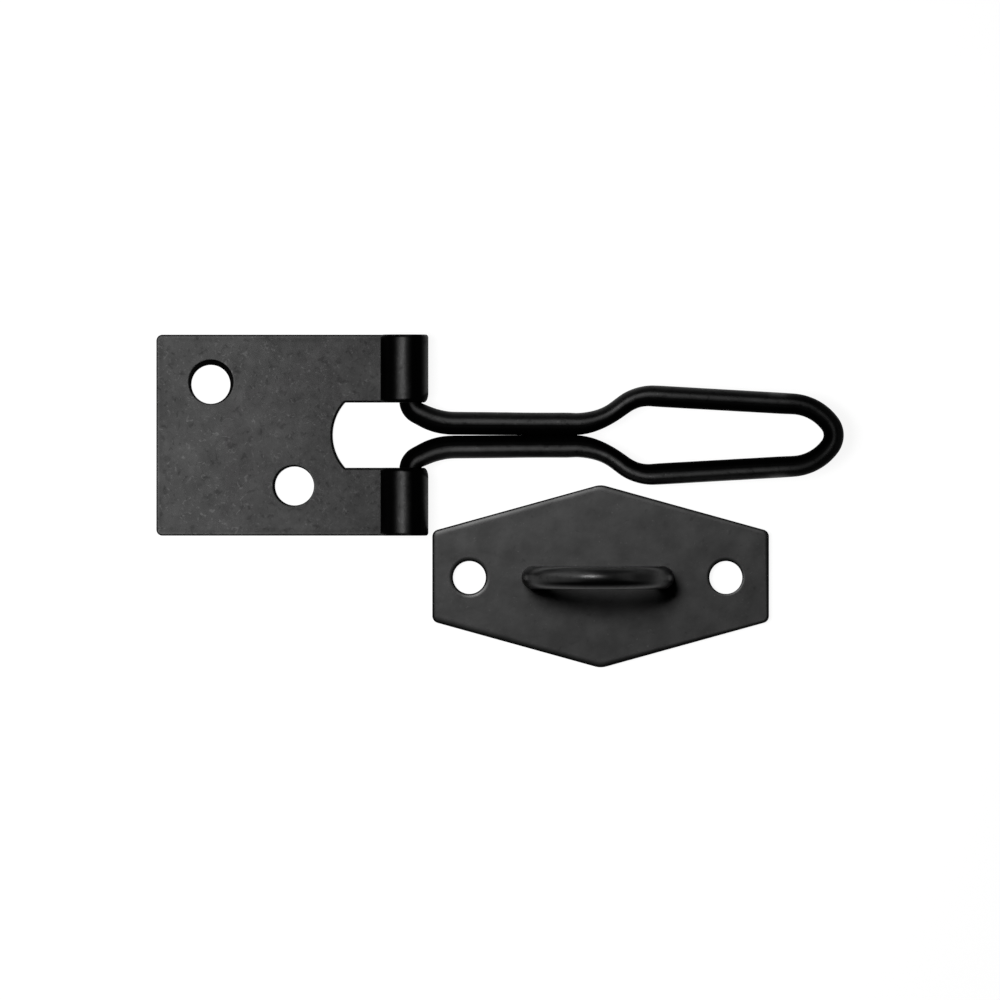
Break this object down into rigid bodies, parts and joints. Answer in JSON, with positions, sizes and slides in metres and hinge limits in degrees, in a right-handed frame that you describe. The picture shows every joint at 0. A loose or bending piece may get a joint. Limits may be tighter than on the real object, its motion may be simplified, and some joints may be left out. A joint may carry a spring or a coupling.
{
  "type": "wire hasp and staple",
  "caption": "Black wire hasp: a bent wire loop swings in the rolled knuckles of a flat leaf and drops over a wire staple riveted in its own six-sided plate.",
  "frame": {"origin": "midway between the leaf's two screw holes, on the face that goes against the wood", "axes": "+X along the hasp towards the tip of its loop, +Y across the leaf away from the staple half, +Z out of the wood"},
  "size_m": [0.115, 0.0556, 0.0201],
  "materials": {
    "coated_sheet": "near-black powder coat on steel sheet, fine orange peel, satin",
    "coated_wire": "near-black powder coat on steel wire, smoother and a little glossier"
  },
  "bodies": {
    "leaf": {"hinge_leaf": "coated_sheet"},
    "hasp": {"wire_hasp": "coated_wire"},
    "staple": {"staple_plate": "coated_sheet", "staple_loop": "coated_wire"}
  },
  "joints": [
    {"name": "hasp_swing", "type": "hinge", "parent": "leaf", "child": "hasp", "pos_m": [0.02634, 0, 0.00369], "axis": [0, -1, 0], "range_deg": [-1.5, 180]},
    {"name": "staple_part", "type": "slide", "parent": "leaf", "child": "staple", "axis": [0, -1, 0], "range_m": [0, 0.04]}
  ]
}
